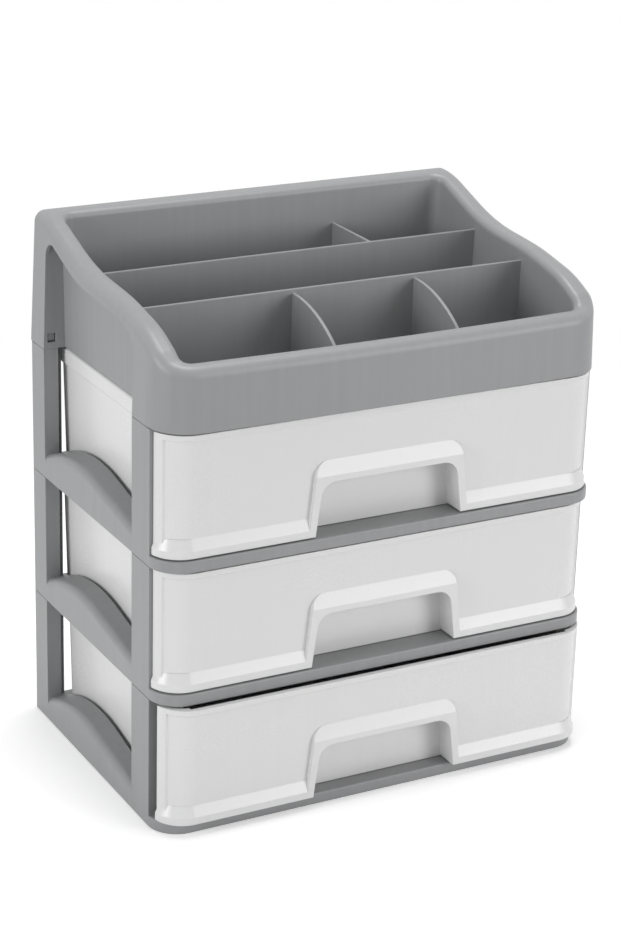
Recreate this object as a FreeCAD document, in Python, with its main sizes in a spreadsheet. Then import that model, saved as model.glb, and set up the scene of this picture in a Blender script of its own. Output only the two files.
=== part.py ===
import FreeCAD, Part
import math
import os
from types import SimpleNamespace
from Sketcher import Constraint

# Desktop drawer tower: three stacked frames, a compartment tray on top and three pull-out drawers.
# Millimetres. +Z is up, the front faces -Y, and the tower stands on Z = 0 under its own centre.

# Driving dimensions
SIZES = {
    # Whole tower
    "tower_width": 265.0,
    "tower_depth": 174.0,
    "tier_height": 75.0,
    "front_corner_round": 17.0,
    "rear_corner_round": 1.5,
    "moulded_wall": 2.2,
    # Frames
    "strip_height": 6.5,
    "shelf_thickness": 2.4,
    "corner_block": 14.0,
    "post_width": 12.5,
    "front_post_setback": 16.0,
    "front_post_depth": 22.0,
    "rear_post_depth": 18.4,
    "rear_post_width": 8.5,
    "rear_post_skin": 1.2,
    "rear_flange_width": 16.8,
    "rail_front_height": 13.0,
    "rail_rear_height": 13.6,
    "rail_peak_from_rear": 54.0,
    "rail_peak_inside": 29.4,
    "rail_peak_outside": 25.4,
    "rail_arch_round": 112.0,
    "rail_edge_round": 4.0,
    "rail_core_height": 11.0,
    "shelf_rib_width": 1.8,
    "shelf_rib_spacing": 58.0,
    "small_edge_round": 0.8,
    "foot_edge_round": 0.6,
    # Plugs that join one tier to the next
    "plug_height": 11.0,
    "plug_play": 0.6,
    "plug_chamfer": 1.2,
    "latch_width": 4.8,
    "latch_low": 3.8,
    "latch_tall": 5.1,
    "latch_inset": 2.4,
    "latch_play": 0.4,
    "latch_reach": 0.9,
    # Drawers
    "drawer_side_play": 0.4,
    "drawer_lift": 0.3,
    "drawer_headroom": 1.0,
    "drawer_wall": 2.0,
    "drawer_draft": 1.3,
    "drawer_rear_gap": 2.7,
    "drawer_ajar": 6.0,
    "tub_rear_round": 8.5,
    "tub_foot_inset": 2.5,
    "rim_height": 9.0,
    "rim_top_round": 2.0,
    "fascia_side_play": 0.8,
    "fascia_front_setback": 1.2,
    "fascia_bottom": 7.3,
    "fascia_corner_round": 17.0,
    "post_face_play": 0.3,
    "panel_side_recess": 0.4,
    "panel_front_recess": 2.6,
    "panel_corner_round": 18.0,
    "lip_height": 3.0,
    "lip_side_recess": 0.4,
    "lip_corner_round": 20.0,
    "side_band_setback": 9.0,
    "flare_band_height": 4.0,
    "flare_slope_height": 6.0,
    "flare_slope_angle": 23.4,
    # Finger pull in each drawer front
    "pull_half_width": 45.0,
    "pull_lean": 4.6,
    "pull_top": 37.0,
    "pull_corner_round": 9.0,
    "pull_depth": 14.0,
    "pull_grip_rise": 8.0,
    "pull_grip_lip": 3.5,
    "hood_border": 3.1,
    "hood_slope_foot": 40.3,
    "hood_top": 48.5,
    "hood_corner_round": 8.0,
    # Tray on top
    "tray_front_bow": 3.0,
    "tray_bow_straight": 15.4,
    "tray_wall": 2.6,
    "tray_draft": 1.0,
    "skirt_draft": 1.8,
    "tray_front_round": 22.0,
    "tray_floor": 2.4,
    "tray_front_rim": 11.5,
    "tray_rear_rim": 13.3,
    "tray_side_rim": 15.5,
    "tray_inner_round": 5.0,
    "rim_roll": 6.0,
    "ridge_round": 3.8,
    "rim_rear_height": 74.3,
    "rim_shoulder_from_rear": 12.4,
    "rim_saddle_from_rear": 60.8,
    "rim_saddle_height": 57.3,
    "rim_brow_from_rear": 109.0,
    "rim_brow_height": 54.4,
    "rim_fall_from_front": 31.8,
    "rim_fall_height": 48.3,
    "rim_drop_from_front": 16.0,
    "rim_drop_height": 40.9,
    "rim_toe_from_front": 9.0,
    "rim_toe_height": 35.4,
    "rim_front_height": 33.3,
    "rim_shoulder_round": 55.0,
    "rim_saddle_round": 139.0,
    "rim_brow_round": 190.0,
    "rim_fall_round": 70.0,
    "rim_drop_round": 14.0,
    "rim_toe_round": 10.0,
    "band_depth": 8.0,
    "window_bend_run": 16.0,
    "window_bend_fall": 7.0,
    "window_rear_round": 8.0,
    "window_saddle_round": 100.0,
    "window_bend_round": 22.0,
    "window_front_round": 10.0,
    "middle_wall_from_rear": 55.0,
    "middle_wall_height": 51.2,
    "front_wall_from_rear": 105.0,
    "front_wall_height": 46.2,
    "divider_thickness": 1.8,
    "divider_height": 44.0,
    "divider_brow_from_rear": 138.0,
    "divider_sweep": 78.0,
    "divider_toe_height": 18.5,
    "left_divider_place": -25.0,
    "right_divider_place": 49.5,
}

TIERS = ("bottom", "middle", "top")


class Size:
    """A length that carries both its present value and the sheet expression that gives it."""

    def __init__(self, value, text):
        self.value = value
        self.text = text

    def joined(self, other, sign, swap=False):
        other = as_size(other)
        left, right = (other, self) if swap else (self, other)
        results = {
            "+": lambda a, b: a + b,
            "-": lambda a, b: a - b,
            "*": lambda a, b: a * b,
            "/": lambda a, b: a / b,
        }
        return Size(results[sign](left.value, right.value), f"({left.text} {sign} {right.text})")

    def __add__(self, other):
        return self.joined(other, "+")

    def __radd__(self, other):
        return self.joined(other, "+", swap=True)

    def __sub__(self, other):
        return self.joined(other, "-")

    def __rsub__(self, other):
        return self.joined(other, "-", swap=True)

    def __mul__(self, other):
        return self.joined(other, "*")

    def __rmul__(self, other):
        return self.joined(other, "*", swap=True)

    def __truediv__(self, other):
        return self.joined(other, "/")

    def __neg__(self):
        return Size(-self.value, f"(-1 * {self.text})")


def as_size(number):
    if isinstance(number, Size):
        return number
    return Size(float(number), f"{number:g}")


# Document and its sheet of sizes
doc = FreeCAD.newDocument("DrawerTower")
sheet = doc.addObject("Spreadsheet::Sheet", "Sizes")
for row, (alias, number) in enumerate(SIZES.items(), start=1):
    sheet.set(f"A{row}", alias.replace("_", " "))
    sheet.set(f"B{row}", f"{number:g}")
    sheet.setAlias(f"B{row}", alias)
doc.recompute()
s = SimpleNamespace(**{alias: Size(number, f"Sizes.{alias}") for alias, number in SIZES.items()})


# Sketch and feature helpers

def point(x, y):
    return FreeCAD.Vector(x, y, 0)


def towards(start, end, distance):
    step = end.sub(start)
    return start.add(step.multiply(distance / step.Length))


def new_body(name):
    return doc.addObject("PartDesign::Body", name)


def draw(body, name, plane, outlines, lift=0):
    """Sketch of closed outlines. A corner is (x, y), or (x, y, radius) where it is rounded."""
    sketch = body.newObject("Sketcher::SketchObject", name)
    origin_plane = next(f for f in body.Origin.OriginFeatures if f.Role == plane)
    sketch.AttachmentSupport = [(origin_plane, "")]
    sketch.MapMode = "FlatFace"
    sketch.setExpression("AttachmentOffset.Base.z", as_size(lift).text)
    for corners in outlines:
        draw_outline(sketch, corners)
    return sketch


def pin(sketch, kind, geometry, vertex, size):
    """Fix a vertex at a signed distance from the sketch's origin, bound to the sheet."""
    size = as_size(size)
    if abs(size.value) < 1e-9:
        axis = -2 if kind == "DistanceX" else -1
        sketch.addConstraint(Constraint("PointOnObject", geometry, vertex, axis))
        return
    index = sketch.addConstraint(Constraint(kind, -1, 1, geometry, vertex, size.value))
    sketch.setExpression(f"Constraints[{index}]", size.text)


def draw_outline(sketch, corners):
    places = [point(as_size(c[0]).value, as_size(c[1]).value) for c in corners]
    radii = [c[2] if len(c) > 2 else None for c in corners]
    count = len(corners)
    ends = []
    for i in range(count):
        before, here, after = places[i - 1], places[i], places[(i + 1) % count]
        cut = 0.0
        if radii[i] is not None:
            turn = before.sub(here).getAngle(after.sub(here))
            cut = as_size(radii[i]).value / math.tan(turn / 2)
        ends.append((towards(here, before, cut), towards(here, after, cut)) if cut else (here, here))
    lines = []
    for i in range(count):
        line = Part.LineSegment(ends[i][1], ends[(i + 1) % count][0])
        lines.append(sketch.addGeometry(line))
    for i in range(count):
        into, out = lines[i - 1], lines[i]
        if radii[i] is None:
            sketch.addConstraint(Constraint("Coincident", into, 2, out, 1))
            mark, vertex = out, 1
        else:
            mark, vertex = round_corner(sketch, into, out, places[i], ends[i], radii[i]), 1
        pin(sketch, "DistanceX", mark, vertex, corners[i][0])
        pin(sketch, "DistanceY", mark, vertex, corners[i][1])


def round_corner(sketch, into, out, corner, tangents, radius):
    """Arc between two lines, and a construction point where the lines would have met."""
    radius = as_size(radius)
    start, end = tangents
    bisector = towards(corner, start.add(end).multiply(0.5), 1.0).sub(corner)
    half_turn = start.sub(corner).getAngle(bisector)
    centre = corner.add(FreeCAD.Vector(bisector).multiply(radius.value / math.sin(half_turn)))
    middle = centre.sub(FreeCAD.Vector(bisector).multiply(radius.value))
    arc = sketch.addGeometry(Part.Arc(start, middle, end))
    arc_starts_here = sketch.getPoint(arc, 1).distanceToPoint(start) < 1e-6
    first, last = (1, 2) if arc_starts_here else (2, 1)
    mark = sketch.addGeometry(Part.Point(corner), True)
    sketch.addConstraint(Constraint("Tangent", into, 2, arc, first))
    sketch.addConstraint(Constraint("Tangent", out, 1, arc, last))
    sketch.addConstraint(Constraint("PointOnObject", mark, 1, into))
    sketch.addConstraint(Constraint("PointOnObject", mark, 1, out))
    index = sketch.addConstraint(Constraint("Radius", arc, radius.value))
    sketch.setExpression(f"Constraints[{index}]", radius.text)
    return mark


def box_corners(x_low, x_high, y_low, y_high, radius=None):
    tail = () if radius is None else (radius,)
    spots = ((x_low, y_low), (x_high, y_low), (x_high, y_high), (x_low, y_high))
    return [spot + tail for spot in spots]


def pad(body, name, sketch, length, taper=None, flip=False, both_ways=False):
    return extrude(body, "PartDesign::Pad", name, sketch, length, taper, flip, both_ways)


def pocket(body, name, sketch, length, taper=None, flip=False, both_ways=False):
    return extrude(body, "PartDesign::Pocket", name, sketch, length, taper, flip, both_ways)


def extrude(body, kind, name, sketch, length, taper, flip, both_ways):
    feature = body.newObject(kind, name)
    feature.Profile = sketch
    feature.setExpression("Length", as_size(length).text)
    if taper is not None:
        feature.setExpression("TaperAngle", as_size(taper).text)
    feature.Reversed = flip
    feature.SideType = "Symmetric" if both_ways else "One side"
    sketch.Visibility = False
    doc.recompute()
    return feature


def both_sides(corners):
    """The outline and its mirror image across the middle of the tower."""
    mirrored = [(-as_size(c[0]),) + tuple(c[1:]) for c in reversed(corners)]
    return [corners, mirrored]


def lies_at(edge, x=None, y=None, z=None, side=None):
    """True where the whole edge lies at the given coordinates; side is measured both ways from X = 0."""
    steps = 4
    span = edge.LastParameter - edge.FirstParameter
    spots = [edge.valueAt(edge.FirstParameter + span * i / steps) for i in range(steps + 1)]
    tests = []
    for wanted, measured in (
        (x, [p.x for p in spots]),
        (y, [p.y for p in spots]),
        (z, [p.z for p in spots]),
        (side, [abs(p.x) for p in spots]),
    ):
        if wanted is not None:
            tests.append(all(abs(m - as_size(wanted).value) < 0.02 for m in measured))
    return all(tests)


def is_upright(edge):
    start, end = edge.valueAt(edge.FirstParameter), edge.valueAt(edge.LastParameter)
    return math.hypot(end.x - start.x, end.y - start.y) < 0.01 < abs(end.z - start.z)


def round_edges(body, name, radius, choose):
    return dress(body, "PartDesign::Fillet", "Radius", name, radius, choose)


def bevel_edges(body, name, size, choose):
    return dress(body, "PartDesign::Chamfer", "Size", name, size, choose)


def dress(body, kind, measure, name, size, choose):
    base = body.Tip
    edges = base.Shape.Edges
    picked = [f"Edge{i}" for i, edge in enumerate(edges, start=1) if choose(edge)]
    feature = body.newObject(kind, name)
    feature.Base = (base, picked)
    feature.setExpression(measure, as_size(size).text)
    doc.recompute()
    return feature


def mirror_across_middle(body, name, features):
    feature = body.newObject("PartDesign::Mirrored", name)
    feature.Originals = features
    plane = next(f for f in body.Origin.OriginFeatures if f.Role == "YZ_Plane")
    feature.MirrorPlane = (plane, [""])
    body.Tip = feature
    doc.recompute()
    return feature


# Places that the pieces share
half_width = s.tower_width / 2
front = -s.tower_depth / 2
rear = s.tower_depth / 2
post_inner = half_width - s.post_width
front_post_front = front + s.front_post_setback
front_post_rear = front_post_front + s.front_post_depth
rear_post_front = rear - s.rear_post_depth
rear_post_inner = half_width - s.rear_post_width
shelf_underside = s.strip_height - s.shelf_thickness

# At rest the bottom drawer stands forward of the frames, so the tower's middle moves back
drawer_overhang = s.drawer_ajar - s.fascia_front_setback
frame_shift = drawer_overhang / 2


def tower_outline(front_corner, rear_corner=None, inset=0):
    """Footprint of a tier, with round front corners; the rear ones are sharp unless a radius is given."""
    front_round = front_corner - inset
    rear_tail = () if rear_corner is None else (rear_corner,)
    return [
        (-half_width + inset, front + inset, front_round),
        (half_width - inset, front + inset, front_round),
        (half_width - inset, rear - inset) + rear_tail,
        (-half_width + inset, rear - inset) + rear_tail,
    ]


def leg_cores(play=0):
    """Hollow inside each leg, which takes the plug of the tier below; play shrinks it to the plug."""
    wall = s.moulded_wall + play
    x_high = half_width - wall
    front_core = box_corners(post_inner + wall, x_high, front_post_front + wall, front_post_rear - wall)
    rear_low = rear_post_inner + s.rear_post_skin + play
    rear_core = box_corners(rear_low, x_high, rear_post_front + wall, rear - wall)
    return both_sides(front_core) + both_sides(rear_core)


def latch_windows(body):
    """Square windows low in the webs of the legs, where the plugs snap in."""
    x_low = half_width - s.latch_inset - s.latch_width
    window = box_corners(x_low, x_low + s.latch_width, s.latch_low, s.latch_low + s.latch_tall)
    for name, web_face in (("FrontLatch", front_post_rear), ("RearLatch", rear_post_front + s.moulded_wall)):
        sketch = draw(body, f"{body.Name}{name}Sketch", "XZ_Plane", both_sides(window), lift=-web_face)
        pocket(body, f"{body.Name}{name}", sketch, s.moulded_wall, flip=True)


def latch_nubs(body):
    """Noses on the plugs, which snap into the windows of the tier above."""
    x_low = half_width - s.latch_inset - s.latch_width + s.latch_play
    x_high = half_width - s.latch_inset - s.latch_play
    z_low = s.tier_height + s.latch_low + s.latch_play
    nub = box_corners(x_low, x_high, z_low, z_low + s.latch_tall - 2 * s.latch_play)
    reach = s.plug_play + s.latch_reach
    front_face = front_post_rear - s.moulded_wall - s.plug_play
    rear_face = rear_post_front + s.moulded_wall + s.plug_play
    front_nubs = draw(body, f"{body.Name}FrontNubSketch", "XZ_Plane", both_sides(nub), lift=-front_face)
    pad(body, f"{body.Name}FrontNubs", front_nubs, reach, flip=True)
    rear_nubs = draw(body, f"{body.Name}RearNubSketch", "XZ_Plane", both_sides(nub), lift=-rear_face)
    pad(body, f"{body.Name}RearNubs", rear_nubs, reach)


def rail_profile(peak_height):
    """Side view of a side rail: arched above, run into the front post and back to the rear flange."""
    bite = 3.0
    base = s.strip_height / 2
    tail = rear - s.moulded_wall
    peak = rear - s.rail_peak_from_rear
    front_fall = (peak_height - s.rail_front_height) / (peak - front_post_rear)
    rear_fall = (peak_height - s.rail_rear_height) / (rear_post_front - peak)
    return [
        (front_post_rear - bite, base),
        (tail, base),
        (tail, s.rail_rear_height - rear_fall * (tail - rear_post_front)),
        (peak, peak_height, s.rail_arch_round),
        (front_post_rear - bite, s.rail_front_height - front_fall * bite),
    ]


def make_frame(tier, level):
    body = new_body(f"Frame{tier.title()}")
    prefix = body.Name

    footprint = tower_outline(s.front_corner_round, s.rear_corner_round)
    shelf = draw(body, prefix + "ShelfSketch", "XY_Plane", [footprint])
    pad(body, prefix + "Shelf", shelf, s.strip_height)
    round_edges(body, prefix + "FootEdge", s.foot_edge_round, lambda e: lies_at(e, z=0))

    hollow_side = half_width - s.corner_block
    hollow_end = rear - s.moulded_wall
    hollow = draw(body, prefix + "HollowSketch", "XY_Plane",
                  [box_corners(-hollow_side, hollow_side, -hollow_end, hollow_end)])
    pocket(body, prefix + "Hollow", hollow, shelf_underside, flip=True)

    half_rib = s.shelf_rib_width / 2
    ribs = [box_corners(i * s.shelf_rib_spacing - half_rib, i * s.shelf_rib_spacing + half_rib,
                        -hollow_end, hollow_end) for i in (-1, 0, 1)]
    rib_sketch = draw(body, prefix + "RibSketch", "XY_Plane", ribs, lift=shelf_underside / 2)
    pad(body, prefix + "Ribs", rib_sketch, shelf_underside / 2 + s.shelf_thickness / 2)

    front_post = box_corners(post_inner, half_width, front_post_front, front_post_rear)
    flange_inner = half_width - s.rear_flange_width
    flange_front = rear - s.moulded_wall
    rear_post = [(rear_post_inner, rear_post_front), (half_width, rear_post_front),
                 (half_width, rear, s.rear_corner_round), (flange_inner, rear),
                 (flange_inner, flange_front), (rear_post_inner, flange_front)]
    posts = draw(body, prefix + "PostSketch", "XY_Plane", both_sides(front_post) + both_sides(rear_post),
                 lift=s.strip_height / 2)
    pad(body, prefix + "Posts", posts, s.tier_height - s.strip_height / 2)

    inside = draw(body, prefix + "RailInsideSketch", "YZ_Plane", [rail_profile(s.rail_peak_inside)],
                  lift=post_inner)
    outside = draw(body, prefix + "RailOutsideSketch", "YZ_Plane", [rail_profile(s.rail_peak_outside)],
                   lift=half_width)
    rail = body.newObject("PartDesign::AdditiveLoft", prefix + "Rail")
    rail.Profile = inside
    rail.Sections = [outside]
    rail.Ruled = True
    doc.recompute()
    mirror_across_middle(body, prefix + "RailPair", [rail])

    rail_core = box_corners(post_inner + s.moulded_wall, half_width - s.moulded_wall,
                            front_post_rear, rear_post_front)
    core = draw(body, prefix + "RailCoreSketch", "XY_Plane", both_sides(rail_core))
    pocket(body, prefix + "RailCore", core, s.rail_core_height, flip=True)
    leg = draw(body, prefix + "LegCoreSketch", "XY_Plane", leg_cores())
    pocket(body, prefix + "LegCore", leg, s.tier_height - s.moulded_wall, flip=True)
    latch_windows(body)

    plugs = draw(body, prefix + "PlugSketch", "XY_Plane", leg_cores(s.plug_play), lift=s.tier_height)
    pad(body, prefix + "Plugs", plugs, s.plug_height)
    plug_top = s.tier_height + s.plug_height
    bevel_edges(body, prefix + "PlugLead", s.plug_chamfer, lambda e: lies_at(e, z=plug_top))
    latch_nubs(body)
    round_edges(body, prefix + "RailRoll", s.rail_edge_round,
                lambda e: lies_at(e, side=half_width) and not is_upright(e)
                and rail_span(e) and e.CenterOfMass.z > s.rail_core_height.value)
    round_edges(body, prefix + "StripEdge", s.small_edge_round,
                lambda e: lies_at(e, z=s.strip_height) and e.CenterOfMass.y < front_post_front.value - 1)

    body.Label = f"frame_{tier}"
    body.setExpression("Placement.Base.y", frame_shift.text)
    body.setExpression("Placement.Base.z", (level * s.tier_height).text)
    return body


def rail_span(edge):
    return front_post_rear.value - 1 < edge.CenterOfMass.y < rear_post_front.value + 1


# Drawer: a one-piece tub whose front is wider than its body
drawer_top = s.tier_height - s.drawer_headroom
rim_side = post_inner - s.drawer_side_play
rim_rear = rear - s.drawer_rear_gap
tub_side = rim_side - s.tub_foot_inset
tub_rear = rim_rear - s.tub_foot_inset
tub_bottom = s.strip_height + s.drawer_lift
flare_side = half_width - s.fascia_side_play
lip_side = flare_side - s.lip_side_recess
lip_front = front + s.fascia_front_setback
panel_side = lip_side - s.panel_side_recess
panel_front = lip_front + s.panel_front_recess
fascia_rear = front_post_front - s.post_face_play
flare_top = s.fascia_bottom + s.flare_band_height
pull_back = lip_front + s.pull_depth
pull_roof = s.pull_top + s.pull_grip_rise


def fascia_outline(side, nose, corner):
    """Footprint of the drawer front, run on past its rear so that the corner arcs are whole."""
    tail = front_post_rear
    return [(-side, nose, corner), (side, nose, corner), (side, tail), (-side, tail)]


def tub_outline(side, back, corner, nose):
    return [(-side, nose), (side, nose), (side, back, corner), (-side, back, corner)]


def pull_outline(base, top, corner, grow=0):
    """Arch of the finger pull seen from the front; grow moves its sides outward."""
    foot = s.pull_half_width + grow
    head = foot - s.pull_lean
    return [(-foot, base), (foot, base), (head, top, corner), (-head, top, corner)]


def cut_behind_fascia(body, plane_y):
    """Squares off the drawer front where it meets the posts."""
    over = s.tower_width
    block = draw(body, body.Name + "RearCutSketch", "XY_Plane", [box_corners(-over, over, plane_y, rear)])
    pocket(body, body.Name + "RearCut", block, 2 * s.tier_height, flip=True)


def make_drawer_outside(tier):
    body = new_body(f"Drawer{tier.title()}Outside")
    prefix = body.Name
    flare_outline = fascia_outline(flare_side, lip_front, s.fascia_corner_round)
    lip_outline = fascia_outline(lip_side, lip_front, s.lip_corner_round)
    panel_outline = fascia_outline(panel_side, panel_front, s.panel_corner_round)

    sides = draw(body, prefix + "SideBandSketch", "XY_Plane", [lip_outline], lift=s.fascia_bottom)
    pad(body, prefix + "SideBands", sides, drawer_top - s.fascia_bottom)
    over = s.tower_width
    nose = draw(body, prefix + "SideBandEndSketch", "XY_Plane",
                [box_corners(-over, over, 2 * front, lip_front + s.side_band_setback)])
    pocket(body, prefix + "SideBandEnd", nose, s.tier_height, flip=True)

    panel = draw(body, prefix + "PanelSketch", "XY_Plane", [panel_outline], lift=s.fascia_bottom)
    pad(body, prefix + "Panel", panel, drawer_top - s.fascia_bottom)
    lip = draw(body, prefix + "LipSketch", "XY_Plane", [lip_outline], lift=drawer_top)
    pad(body, prefix + "Lip", lip, s.lip_height, flip=True)
    band = draw(body, prefix + "FlareBandSketch", "XY_Plane", [flare_outline], lift=s.fascia_bottom)
    pad(body, prefix + "FlareBand", band, s.flare_band_height)
    slope = draw(body, prefix + "FlareSlopeSketch", "XY_Plane", [flare_outline], lift=flare_top)
    pad(body, prefix + "FlareSlope", slope, s.flare_slope_height, taper=-s.flare_slope_angle)

    hood_outline = pull_outline(s.fascia_bottom, s.hood_top, s.hood_corner_round, grow=s.hood_border)
    hood = draw(body, prefix + "HoodSketch", "XZ_Plane", [hood_outline], lift=-lip_front)
    pad(body, prefix + "Hood", hood, s.panel_front_recess + s.drawer_wall, flip=True)
    wedge = draw(body, prefix + "HoodSlopeSketch", "YZ_Plane",
                 [[(lip_front, s.hood_slope_foot), (panel_front, s.hood_top),
                   (front, s.hood_top), (front, s.hood_slope_foot)]])
    pocket(body, prefix + "HoodSlope", wedge, s.tower_width, both_ways=True)
    cut_behind_fascia(body, fascia_rear)

    tub = draw(body, prefix + "TubSketch", "XY_Plane",
               [tub_outline(tub_side, tub_rear, s.tub_rear_round, pull_back)], lift=tub_bottom)
    pad(body, prefix + "Tub", tub, drawer_top - tub_bottom, taper=s.drawer_draft)
    rim_corner = s.tub_rear_round + s.tub_foot_inset
    rim = draw(body, prefix + "RimSketch", "XY_Plane",
               [tub_outline(rim_side, rim_rear, rim_corner, pull_back)], lift=drawer_top)
    pad(body, prefix + "Rim", rim, s.rim_height, flip=True)
    round_edges(body, prefix + "RimTop", s.rim_top_round,
                lambda e: lies_at(e, z=drawer_top) and e.CenterOfMass.y > fascia_rear.value + 1)

    arch = pull_outline(0, s.pull_top, s.pull_corner_round)
    recess = draw(body, prefix + "PullSketch", "XZ_Plane", [arch], lift=-pull_back)
    pocket(body, prefix + "Pull", recess, s.pull_depth, flip=True)

    grip_side = s.pull_half_width - s.pull_lean
    grip = draw(body, prefix + "GripSketch", "XZ_Plane",
                [box_corners(-grip_side, grip_side, s.pull_top - s.pull_corner_round, pull_roof)],
                lift=-pull_back)
    pocket(body, prefix + "Grip", grip, s.pull_depth - s.pull_grip_lip, flip=True)
    return body


def make_drawer_inside(tier):
    """The room inside the drawer, leaving the walls, the floor and the housing of the finger pull."""
    body = new_body(f"Drawer{tier.title()}Inside")
    prefix = body.Name
    wall = s.drawer_wall
    over_top = s.tier_height + s.drawer_headroom
    floor = tub_bottom + wall
    corner = s.panel_corner_round - wall

    bay = draw(body, prefix + "BaySketch", "XY_Plane",
               [fascia_outline(panel_side - wall, panel_front + wall, corner)], lift=s.fascia_bottom + wall)
    pad(body, prefix + "Bay", bay, over_top - s.fascia_bottom - wall)
    cut_behind_fascia(body, fascia_rear - wall)
    tub = draw(body, prefix + "TubSketch", "XY_Plane",
               [tub_outline(tub_side - wall, tub_rear - wall, s.tub_rear_round - wall, panel_front + wall)],
               lift=floor)
    pad(body, prefix + "Tub", tub, over_top - floor, taper=s.drawer_draft)

    housing_outline = pull_outline(0, pull_roof + wall, s.pull_corner_round, grow=wall)
    housing = draw(body, prefix + "HousingSketch", "XZ_Plane", [housing_outline], lift=-(pull_back + wall))
    pocket(body, prefix + "Housing", housing, s.pull_depth + wall, flip=True)
    return body


def make_drawer(tier, level):
    drawer = doc.addObject("Part::Cut", f"Drawer{tier.title()}")
    drawer.Base = make_drawer_outside(tier)
    drawer.Tool = make_drawer_inside(tier)
    drawer.Label = f"drawer_{tier}"
    drawer.setExpression("Placement.Base.z", (level * s.tier_height).text)
    pull_out = s.drawer_ajar if level == 0 else 0
    drawer.setExpression("Placement.Base.y", (frame_shift - pull_out).text)
    doc.recompute()
    return drawer


# Tray: an open box with compartments, inside an outer skirt whose rim sweeps down to the front
room_side = half_width - s.tray_side_rim
room_front = front + s.tray_front_rim
room_rear = rear - s.tray_rear_rim
middle_wall = rear - s.middle_wall_from_rear
front_wall = rear - s.front_wall_from_rear
wall_lap = s.tray_wall / 2


def slope(angle):
    return Size(math.tan(math.radians(angle.value)), f"tan({angle.text} * 1 deg)")


def bowed(outline, bow):
    """The outline with its front edge, the first one, bowed gently forward between two straight ends."""
    first, second = outline[:2]
    side, nose, corner = second
    bend = (side - corner - s.tray_bow_straight) * side / bow
    return [first, (0, nose - bow, bend), second] + list(outline[2:])


def room_outline(grow=0):
    corner = s.tray_inner_round + grow
    outline = [(-room_side - grow, room_front - grow, corner), (room_side + grow, room_front - grow, corner),
               (room_side + grow, room_rear + grow, corner), (-room_side - grow, room_rear + grow, corner)]
    return bowed(outline, s.tray_front_bow)


def rim_line(drop):
    """Side view of the rim from front to rear; drop lowers it to the underside of the moulding."""
    overrun = 10.0
    toe = (front + s.rim_toe_from_front, s.rim_toe_height - drop, s.rim_toe_round)
    fall = (s.rim_toe_height - s.rim_front_height) / (toe[0] - front)
    return [
        (front - overrun, s.rim_front_height - drop - fall * overrun),
        toe,
        (front + s.rim_drop_from_front, s.rim_drop_height - drop, s.rim_drop_round),
        (front + s.rim_fall_from_front, s.rim_fall_height - drop, s.rim_fall_round),
        (rear - s.rim_brow_from_rear, s.rim_brow_height - drop, s.rim_brow_round),
        (rear - s.rim_saddle_from_rear, s.rim_saddle_height - drop, s.rim_saddle_round),
        (rear - s.rim_shoulder_from_rear, s.rim_rear_height - drop, s.rim_shoulder_round),
        (rear + overrun, s.rim_rear_height - drop),
    ]


def swept_block(name, inset=0):
    """Block of the tray's footprint, cut off on top along the rim line."""
    body = new_body(name)
    outline = bowed(tower_outline(s.tray_front_round, inset=inset), s.tray_front_bow)
    base = draw(body, name + "BaseSketch", "XY_Plane", [outline])
    pad(body, name + "Base", base, s.rim_rear_height + s.tray_floor, taper=-s.skirt_draft)
    line = rim_line(inset)
    above = draw(body, name + "RimSketch", "YZ_Plane",
                 [line + [(line[-1][0], 3 * s.tier_height), (line[0][0], 3 * s.tier_height)]])
    pocket(body, name + "Rim", above, 2 * s.tower_width, both_ways=True)
    return body


def window_profile():
    """Side view of the opening between the legs: its top runs along under the rim."""
    shoulder = rear - s.rim_shoulder_from_rear
    saddle = rear - s.rim_saddle_from_rear
    brow = rear - s.rim_brow_from_rear
    rise = (s.rim_rear_height - s.rim_saddle_height) / (shoulder - saddle)
    run = (s.rim_saddle_height - s.rim_brow_height) / (saddle - brow)
    saddle_height = s.rim_saddle_height - s.band_depth
    bend = front_post_rear + s.window_bend_run
    bend_height = saddle_height - run * (saddle - bend)
    return [
        (front_post_rear, 0),
        (rear_post_front, 0),
        (rear_post_front, saddle_height + rise * (rear_post_front - saddle), s.window_rear_round),
        (saddle, saddle_height, s.window_saddle_round),
        (bend, bend_height, s.window_bend_round),
        (front_post_rear, bend_height - s.window_bend_fall, s.window_front_round),
    ]


def make_tray_outside():
    body = swept_block("TrayOutside")
    round_edges(body, "TrayFoot", s.foot_edge_round, lambda e: lies_at(e, z=0))
    round_edges(body, "TrayRimRoll", s.rim_roll, is_outer_rim)

    room = draw(body, "TrayRoomSketch", "XY_Plane", [room_outline()], lift=s.tray_floor)
    pocket(body, "TrayRoom", room, 2 * s.tier_height, taper=s.tray_draft, flip=True)
    round_edges(body, "TrayRidge", s.ridge_round, is_inner_rim)

    depth = s.tray_side_rim / 2
    for side, name in ((-1, "Left"), (1, "Right")):
        window = draw(body, f"Tray{name}WindowSketch", "YZ_Plane", [window_profile()], lift=side * half_width)
        pocket(body, f"Tray{name}Window", window, depth, flip=side < 0)
    latch_windows(body)
    add_dividers(body)
    return body


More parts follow.
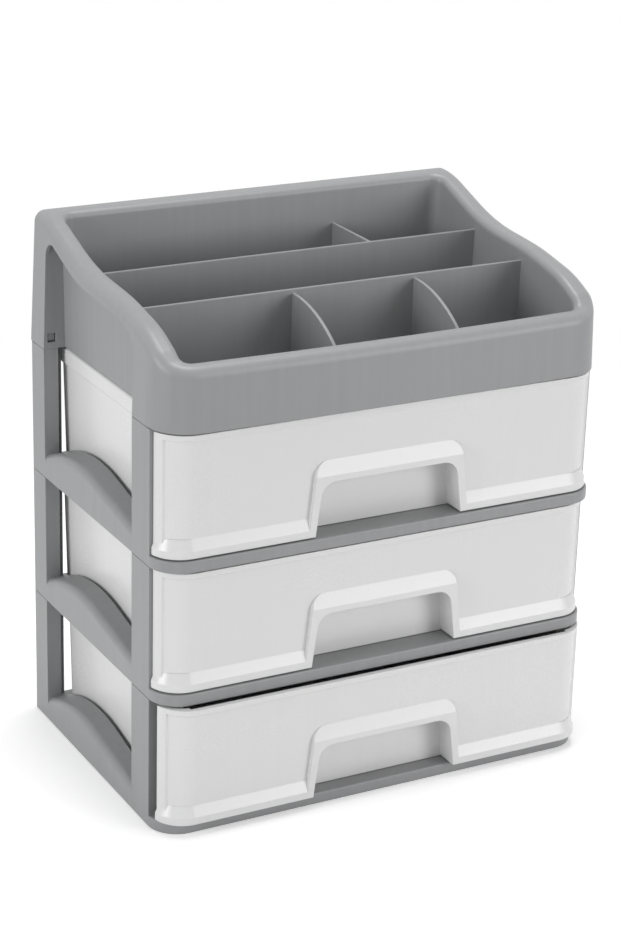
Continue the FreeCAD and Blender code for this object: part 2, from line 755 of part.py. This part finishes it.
def add_dividers(body):
    lean = slope(s.tray_draft)
    low = s.tray_floor / 2
    for name, place, height in (("MiddleWall", middle_wall, s.middle_wall_height),
                                ("FrontWall", front_wall, s.front_wall_height)):
        foot = room_side + wall_lap
        head = foot + height * lean
        sketch = draw(body, f"Tray{name}Sketch", "XZ_Plane",
                      [[(-foot, low), (foot, low), (head, height), (-head, height)]], lift=-place)
        pad(body, f"Tray{name}", sketch, s.divider_thickness, both_ways=True)

    nose = room_front - wall_lap
    brow = rear - s.divider_brow_from_rear
    swept = [(nose, low), (front_wall, low), (front_wall, s.divider_height),
             (brow, s.divider_height, s.divider_sweep), (nose, s.divider_toe_height)]
    tail = room_rear + wall_lap
    straight = [(middle_wall, low), (tail, low), (tail + s.middle_wall_height * lean, s.middle_wall_height),
                (middle_wall, s.middle_wall_height)]
    for name, place, profile in (("LeftDivider", s.left_divider_place, swept),
                                 ("RightDivider", s.right_divider_place, swept),
                                 ("RearDivider", s.right_divider_place, straight)):
        sketch = draw(body, f"Tray{name}Sketch", "YZ_Plane", [profile], lift=place)
        pad(body, f"Tray{name}", sketch, s.divider_thickness, both_ways=True)


def is_outer_rim(edge):
    """True for the edges round the outside of the rim, not for those that cross it."""
    box = edge.BoundBox
    crosses = box.XLength > half_width.value and front.value < box.Center.y < rear.value - 1
    return box.ZMin > 1 and not is_upright(edge) and not crosses


def is_inner_rim(edge):
    """True for the edges where the rim turns down into the tray."""
    middle = edge.CenterOfMass
    over_side = (room_side + half_width).value / 2
    over_end = (s.tower_depth / 2 - s.tray_side_rim / 4).value
    inside = abs(middle.x) < over_side and abs(middle.y) < over_end
    return inside and middle.z > 2 * s.tray_floor.value and not is_upright(edge)


def make_tray_hollow():
    """The room between the box and the skirt, open below and divided by the webs of the legs."""
    body = swept_block("TrayHollow", inset=s.moulded_wall)
    round_edges(body, "TrayHollowRoll", s.rim_roll - s.moulded_wall, is_outer_rim)
    box = draw(body, "TrayHollowBoxSketch", "XY_Plane", [room_outline(s.tray_wall)])
    pocket(body, "TrayHollowBox", box, 3 * s.tier_height, taper=s.tray_draft, flip=True)
    over = 2 * half_width
    webs = [box_corners(-over, over, front_post_rear - s.moulded_wall, front_post_rear),
            box_corners(-over, over, rear_post_front, rear_post_front + s.moulded_wall)]
    web_sketch = draw(body, "TrayHollowWebSketch", "XY_Plane", webs)
    pocket(body, "TrayHollowWebs", web_sketch, 3 * s.tier_height, flip=True)
    return body


def make_tray():
    tray = doc.addObject("Part::Cut", "OrganizerTray")
    tray.Base = make_tray_outside()
    tray.Tool = make_tray_hollow()
    tray.Label = "organizer_tray"
    tray.setExpression("Placement.Base.y", frame_shift.text)
    tray.setExpression("Placement.Base.z", (len(TIERS) * s.tier_height).text)
    doc.recompute()
    return tray


made = []
for level, tier in enumerate(TIERS):
    made.append(make_frame(tier, level))
    made.append(make_drawer(tier, level))
made.append(make_tray())



# Checks and export
doc.recompute()
for item in doc.Objects:
    if "Invalid" in item.State or "Error" in item.State:
        raise RuntimeError(f"{item.Label}: {item.State}")
os.makedirs("parts", exist_ok=True)
for item in made:
    if item.Shape.isNull() or not item.Shape.isValid():
        raise RuntimeError(f"{item.Label} has no valid shape")
for item in made:
    item.Shape.exportStep(f"parts/{item.Label}.step")
    box = item.Shape.BoundBox
    print(item.Label, len(item.Shape.Solids), round(item.Shape.Volume), [round(v, 2) for v in
          (box.XMin, box.XMax, box.YMin, box.YMax, box.ZMin, box.ZMax)])
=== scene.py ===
import math

import bpy
from bpy.props import FloatProperty, FloatVectorProperty, PointerProperty
from mathutils import Matrix, Vector

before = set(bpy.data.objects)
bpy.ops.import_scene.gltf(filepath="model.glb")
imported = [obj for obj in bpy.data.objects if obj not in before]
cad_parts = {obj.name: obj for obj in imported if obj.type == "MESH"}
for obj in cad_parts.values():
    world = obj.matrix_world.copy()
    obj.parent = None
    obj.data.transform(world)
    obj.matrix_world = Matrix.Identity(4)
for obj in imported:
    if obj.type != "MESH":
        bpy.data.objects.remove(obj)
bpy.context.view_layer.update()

bl_info = {
    "name": "Drawer Tower",
    "version": (1, 0, 0),
    "blender": (4, 5, 0),
    "location": "View3D > Sidebar > Tower",
    "description": "Gives a moulded drawer tower its plastics and stands it in a pale studio",
    "category": "Object",
}

TIERS = ("bottom", "middle", "top")
MM = 0.001

# The moulded surface
FLOW_SCALE = (260, 260, 5)
FLOW_DETAIL = 3.0
CLOUD_SCALE = 14.0
# Painted highlight: how much paler the base colour is made along every edge, standing in for the light
# that the rounded edges catch
PAINTED_EDGE_HIGHLIGHT = 0.16
SPECK_ROUGHNESS = 0.08
CLOUD_ROUGHNESS = 0.03
EDGE_POLISH = 0.06
BUMP_STRENGTH = 0.35
CLOUD_BUMP = 2
PLASTIC_IOR = 1.49
BEVEL_SAMPLES = 8
# Normal matches at which the edge mask is empty and full; the mask paints the edge highlight and makes
# the edges glossier
FLAT_MATCH = 0.99
EDGE_MASK_FULL = 0.80

# The studio: what the camera sees, and what lights the tower
FLOOR_SEEN = 0.92
FLOOR_BOUNCE = 0.80
FLOOR_LIFT = 0.25
BACKDROP_SEEN = 1.0
BACKDROP_BOUNCE = 0.75
SHADOW_CORE = 0.3
LAMP_AIM = (0, 0, 0.14)
SENSOR_WIDTH = 36


# Sizes and colours that a user would change

class PlasticSettings(bpy.types.PropertyGroup):
    grey: FloatVectorProperty(
        name="Grey", description="Colour of the frames and the tray", subtype="COLOR",
        size=3, min=0, max=1, default=(0.268, 0.271, 0.276))
    white: FloatVectorProperty(
        name="White", description="Colour of the drawers", subtype="COLOR",
        size=3, min=0, max=1, default=(0.735, 0.735, 0.733))
    grey_roughness: FloatProperty(
        name="Grey roughness", description="Satin sheen of the grey moulding",
        subtype="FACTOR", min=0, max=1, default=0.42)
    white_roughness: FloatProperty(
        name="White roughness", description="Gloss of the white moulding",
        subtype="FACTOR", min=0, max=1, default=0.26)
    soft_edge: FloatProperty(
        name="Soft edge", description="Radius that the mould leaves on every edge",
        unit="LENGTH", min=0, max=0.005, default=0.7 * MM)
    # Width of the painted highlight: a paler line painted along the edges, standing in for the light that
    # they catch
    edge_highlight_width: FloatProperty(
        name="Edge wear", description="Width of the paler, rubbed line along the edges",
        unit="LENGTH", min=0, max=0.005, default=1.0 * MM)
    grain: FloatProperty(
        name="Grain", description="Width of one speck of the moulded grain",
        unit="LENGTH", min=0.0001, max=0.01, default=0.5 * MM)


class StudioSettings(bpy.types.PropertyGroup):
    azimuth: FloatProperty(
        name="Azimuth", description="Camera's turn round the tower, negative to its left",
        subtype="ANGLE", default=math.radians(-28.55))
    elevation: FloatProperty(
        name="Elevation", description="Camera's height above the horizon",
        subtype="ANGLE", default=math.radians(20.82))
    roll: FloatProperty(
        name="Roll", description="Tilt of the camera about its own line of sight",
        subtype="ANGLE", default=math.radians(1.64))
    distance: FloatProperty(
        name="Distance", description="From the camera to the point that it looks at",
        unit="LENGTH", min=0.1, default=1.405)
    target: FloatVectorProperty(
        name="Target", description="Point that the camera looks at", subtype="XYZ",
        size=3, default=(0.0120, 0.0276, 0.150))
    focal_length: FloatProperty(
        name="Focal length", description="Lens in millimetres on a 36 mm sensor",
        min=1, default=95.4)
    side_power: FloatProperty(
        name="Side lamp", description="Watts of the low lamp on the left", min=0, default=10)
    front_power: FloatProperty(
        name="Front lamp", description="Watts of the soft lamp in front, to the right",
        min=0, default=10.6)
    top_power: FloatProperty(
        name="Top lamp", description="Watts of the lamp straight above", min=0, default=16.6)
    daylight: FloatProperty(
        name="Daylight", description="Strength of the even light from all round",
        min=0, default=0.42)
    floor_size: FloatProperty(
        name="Floor size", description="Side of the square floor",
        unit="LENGTH", min=1, default=12)
    shadow_reach: FloatProperty(
        name="Shadow reach", description="Distance over which the floor turns from shaded to plain white",
        unit="LENGTH", min=0.1, default=0.75)


# Shader maths

class Wire:
    """A shader socket that is added, multiplied and compared like a number."""

    def __init__(self, recipe, socket):
        self.recipe = recipe
        self.socket = socket

    def maths(self, operation, *values):
        return self.recipe.node("ShaderNodeMath", {"operation": operation}, dict(enumerate(values)))

    def __add__(self, other):
        return self.maths("ADD", self, other)

    def __radd__(self, other):
        return self.maths("ADD", other, self)

    def __sub__(self, other):
        return self.maths("SUBTRACT", self, other)

    def __rsub__(self, other):
        return self.maths("SUBTRACT", other, self)

    def __mul__(self, other):
        return self.maths("MULTIPLY", self, other)

    def __rmul__(self, other):
        return self.maths("MULTIPLY", other, self)

    def larger(self, other):
        return self.maths("MAXIMUM", self, other)


class Recipe:
    """The nodes of a material or of the world, each made by one call."""

    def __init__(self, owner):
        owner.use_nodes = True
        self.owner = owner
        self.tree = owner.node_tree
        self.tree.nodes.clear()

    def add(self, kind, settings=None, inputs=None):
        """One node: its settings are set first, then the values or links of its sockets."""
        made = self.tree.nodes.new(kind)
        for name, value in (settings or {}).items():
            setattr(made, name, value)
        for name, value in (inputs or {}).items():
            if isinstance(value, Wire):
                self.tree.links.new(value.socket, made.inputs[name])
            else:
                made.inputs[name].default_value = value
        return made

    def node(self, kind, settings=None, inputs=None, output=0):
        return Wire(self, self.add(kind, settings, inputs).outputs[output])

    def place(self):
        return self.node("ShaderNodeTexCoord", output="Object")

    def stretched(self, scale):
        return self.node("ShaderNodeMapping", {}, {"Vector": self.place(), "Scale": scale})

    def noise(self, vector, scale, detail=2.0):
        """A noise that runs from 0 to 1."""
        return self.node("ShaderNodeTexNoise", {}, {"Vector": vector, "Scale": scale, "Detail": detail})

    def rounded_normal(self, radius):
        return self.node("ShaderNodeBevel", {"samples": BEVEL_SAMPLES}, {"Radius": radius})

    def edge_mask(self, radius):
        """1 on an edge and 0 on the flat, from how far a rounded normal turns from the true one."""
        rounded = self.rounded_normal(radius)
        true = self.node("ShaderNodeNewGeometry", output="Normal")
        match = self.node("ShaderNodeVectorMath", {"operation": "DOT_PRODUCT"},
                          {0: rounded, 1: true}, output="Value")
        return self.node("ShaderNodeMapRange", {},
                         {"Value": match, "From Min": FLAT_MATCH, "From Max": EDGE_MASK_FULL})

    def shade(self, colour, amount):
        """The colour made lighter or darker by a wire that runs from -1 to 1."""
        dark = [c * 0.5 for c in colour] + [1]
        light = [min(c * 1.5, 1) for c in colour] + [1]
        return self.node("ShaderNodeMix", {"data_type": "RGBA"},
                         {"Factor": amount * 0.5 + 0.5, "A": dark, "B": light}, output=2)


def moulded_plastic(name, colour, roughness, streak, mottle, grain_height, settings):
    """Injection-moulded plastic: upright flow streaks, slow mottling, a fine grain, and edges painted
    paler as a highlight and made glossier.
    """
    material = bpy.data.materials.new(name)
    recipe = Recipe(material)
    flow = recipe.noise(recipe.stretched(FLOW_SCALE), 1.0, FLOW_DETAIL) * 2 - 1
    cloud = recipe.noise(recipe.place(), CLOUD_SCALE) * 2 - 1
    speck = recipe.noise(recipe.place(), 1 / settings.grain)
    edge = recipe.edge_mask(settings.edge_highlight_width)
    # The edge term paints a highlight: the colour is made paler along the edges
    tone_and_highlight = flow * streak + cloud * mottle + edge * PAINTED_EDGE_HIGHLIGHT
    speckled = speck * SPECK_ROUGHNESS + cloud * CLOUD_ROUGHNESS + (roughness - SPECK_ROUGHNESS / 2)
    bump = recipe.node("ShaderNodeBump", {}, {
        "Strength": BUMP_STRENGTH,
        "Distance": grain_height,
        "Height": speck + cloud * CLOUD_BUMP,
        "Normal": recipe.rounded_normal(settings.soft_edge)})
    shader = recipe.node("ShaderNodeBsdfPrincipled", {}, {
        "Base Color": recipe.shade(colour, tone_and_highlight),
        "Roughness": speckled - edge * EDGE_POLISH,
        "IOR": PLASTIC_IOR,
        "Normal": bump})
    recipe.add("ShaderNodeOutputMaterial", {}, {"Surface": shader})
    return material


def cover(node_names, material):
    for name in node_names:
        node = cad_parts[name]
        node.data.materials.clear()
        node.data.materials.append(material)


# Stage

def camera_only(recipe, seen, unseen):
    """A value that the camera, reflections and glass see, and another for the light that falls."""
    path = recipe.add("ShaderNodeLightPath")
    camera = Wire(recipe, path.outputs["Is Camera Ray"])
    glossy = Wire(recipe, path.outputs["Is Glossy Ray"])
    through = Wire(recipe, path.outputs["Is Transmission Ray"])
    shown = camera.larger(glossy).larger(through)
    return shown * (seen - unseen) + unseen


def make_floor(settings):
    """A pale floor that takes the tower's shadow and fades to plain white further out."""
    bpy.ops.mesh.primitive_plane_add(size=settings.floor_size, location=(0, 0, 0))
    floor = bpy.context.object
    floor.name = "studio_floor"
    material = bpy.data.materials.new("floor_white")
    recipe = Recipe(material)
    level = camera_only(recipe, FLOOR_SEEN, FLOOR_BOUNCE)
    colour = recipe.node("ShaderNodeCombineColor", {}, {0: level, 1: level, 2: level})
    shaded = recipe.node("ShaderNodeBsdfDiffuse", {}, {"Color": colour})
    lift = recipe.node("ShaderNodeEmission", {}, {"Strength": camera_only(recipe, FLOOR_LIFT, 0.0)})
    near = recipe.node("ShaderNodeAddShader", {}, {0: shaded, 1: lift})
    backdrop = camera_only(recipe, BACKDROP_SEEN, BACKDROP_BOUNCE)
    white = recipe.node("ShaderNodeEmission", {}, {"Strength": backdrop})
    distance = recipe.node("ShaderNodeVectorMath", {"operation": "LENGTH"},
                           {0: recipe.place()}, output="Value")
    fade = recipe.node("ShaderNodeMapRange", {"interpolation_type": "SMOOTHSTEP"}, {
        "Value": distance,
        "From Min": settings.shadow_reach * SHADOW_CORE,
        "From Max": settings.shadow_reach})
    mix = recipe.node("ShaderNodeMixShader", {}, {0: fade, 1: near, 2: white})
    recipe.add("ShaderNodeOutputMaterial", {}, {"Surface": mix})
    floor.data.materials.append(material)


def make_daylight(settings):
    world = bpy.data.worlds.new("studio_daylight")
    recipe = Recipe(world)
    strength = camera_only(recipe, BACKDROP_SEEN, settings.daylight)
    sky = recipe.node("ShaderNodeBackground", {}, {"Color": (1, 1, 1, 1), "Strength": strength})
    recipe.add("ShaderNodeOutputWorld", {}, {"Surface": sky})
    bpy.context.scene.world = world


def make_lamp(name, place, width, power):
    """A round soft lamp that looks at the middle of the tower."""
    bpy.ops.object.light_add(type="AREA", location=place)
    lamp = bpy.context.object
    lamp.name = name
    lamp.data.energy = power
    lamp.data.shape = "DISK"
    lamp.data.size = width
    aim = Vector(LAMP_AIM) - lamp.location
    lamp.rotation_euler = aim.to_track_quat("-Z", "Y").to_euler()


def make_lamps(settings):
    make_lamp("side_lamp", place=(-1.50, -0.20, 0.55), width=0.7, power=settings.side_power)
    make_lamp("front_lamp", place=(0.90, -1.40, 0.50), width=0.9, power=settings.front_power)
    make_lamp("top_lamp", place=(0.10, 0.10, 1.80), width=0.8, power=settings.top_power)


def make_camera(settings):
    turn, lift = settings.azimuth, settings.elevation
    back = Vector((math.sin(turn) * math.cos(lift), -math.cos(turn) * math.cos(lift), math.sin(lift)))
    data = bpy.data.cameras.new("studio_camera")
    data.lens = settings.focal_length
    data.sensor_width = SENSOR_WIDTH
    data.sensor_fit = "AUTO"
    camera = bpy.data.objects.new("studio_camera", data)
    bpy.context.scene.collection.objects.link(camera)
    level = (-back).to_track_quat("-Z", "Y").to_matrix()
    tilt = Matrix.Rotation(settings.roll, 3, back)
    camera.matrix_world = (tilt @ level).to_4x4()
    camera.location = Vector(settings.target) + back * settings.distance
    bpy.context.scene.camera = camera


# Operators

class TOWER_OT_frames(bpy.types.Operator):
    """Give the stacked frames their grey moulded plastic"""
    bl_idname = "tower.frames"
    bl_label = "Frames"

    def execute(self, context):
        plastic = context.scene.tower_plastic
        grey = moulded_plastic(
            "grey_frame_plastic", plastic.grey, plastic.grey_roughness,
            streak=0.14, mottle=0.03, grain_height=0.02 * MM, settings=plastic)
        cover([f"frame_{tier}" for tier in TIERS], grey)
        return {"FINISHED"}


class TOWER_OT_tray(bpy.types.Operator):
    """Give the tray its grey moulded plastic"""
    bl_idname = "tower.tray"
    bl_label = "Tray"

    def execute(self, context):
        plastic = context.scene.tower_plastic
        grey = moulded_plastic(
            "grey_tray_plastic", plastic.grey, plastic.grey_roughness,
            streak=0.12, mottle=0.04, grain_height=0.02 * MM, settings=plastic)
        cover(["organizer_tray"], grey)
        return {"FINISHED"}


class TOWER_OT_drawers(bpy.types.Operator):
    """Give the drawers their glossy white moulded plastic"""
    bl_idname = "tower.drawers"
    bl_label = "Drawers"

    def execute(self, context):
        plastic = context.scene.tower_plastic
        white = moulded_plastic(
            "white_drawer_plastic", plastic.white, plastic.white_roughness,
            streak=0.03, mottle=0.02, grain_height=0.01 * MM, settings=plastic)
        cover([f"drawer_{tier}" for tier in TIERS], white)
        return {"FINISHED"}


class TOWER_OT_stage(bpy.types.Operator):
    """Make the pale floor, the daylight, the soft lamps and the camera"""
    bl_idname = "tower.stage"
    bl_label = "Stage"

    def execute(self, context):
        settings = context.scene.tower_studio
        bpy.ops.object.select_all(action="DESELECT")
        make_floor(settings)
        make_daylight(settings)
        make_lamps(settings)
        make_camera(settings)
        context.scene.view_settings.view_transform = "Standard"
        return {"FINISHED"}


class TOWER_PT_panel(bpy.types.Panel):
    bl_idname = "TOWER_PT_panel"
    bl_label = "Drawer Tower"
    bl_space_type = "VIEW_3D"
    bl_region_type = "UI"
    bl_category = "Tower"

    def draw(self, context):
        for operator in OPERATORS:
            self.layout.operator(operator.bl_idname)


OPERATORS = (TOWER_OT_frames, TOWER_OT_tray, TOWER_OT_drawers, TOWER_OT_stage)
CLASSES = (PlasticSettings, StudioSettings, *OPERATORS, TOWER_PT_panel)


def register():
    for made in CLASSES:
        bpy.utils.register_class(made)
    bpy.types.Scene.tower_plastic = PointerProperty(type=PlasticSettings)
    bpy.types.Scene.tower_studio = PointerProperty(type=StudioSettings)


def unregister():
    del bpy.types.Scene.tower_studio
    del bpy.types.Scene.tower_plastic
    for made in reversed(CLASSES):
        bpy.utils.unregister_class(made)


def main():
    register()
    bpy.ops.tower.frames()
    bpy.ops.tower.tray()
    bpy.ops.tower.drawers()
    bpy.ops.tower.stage()


if __name__ == "__main__":
    main()
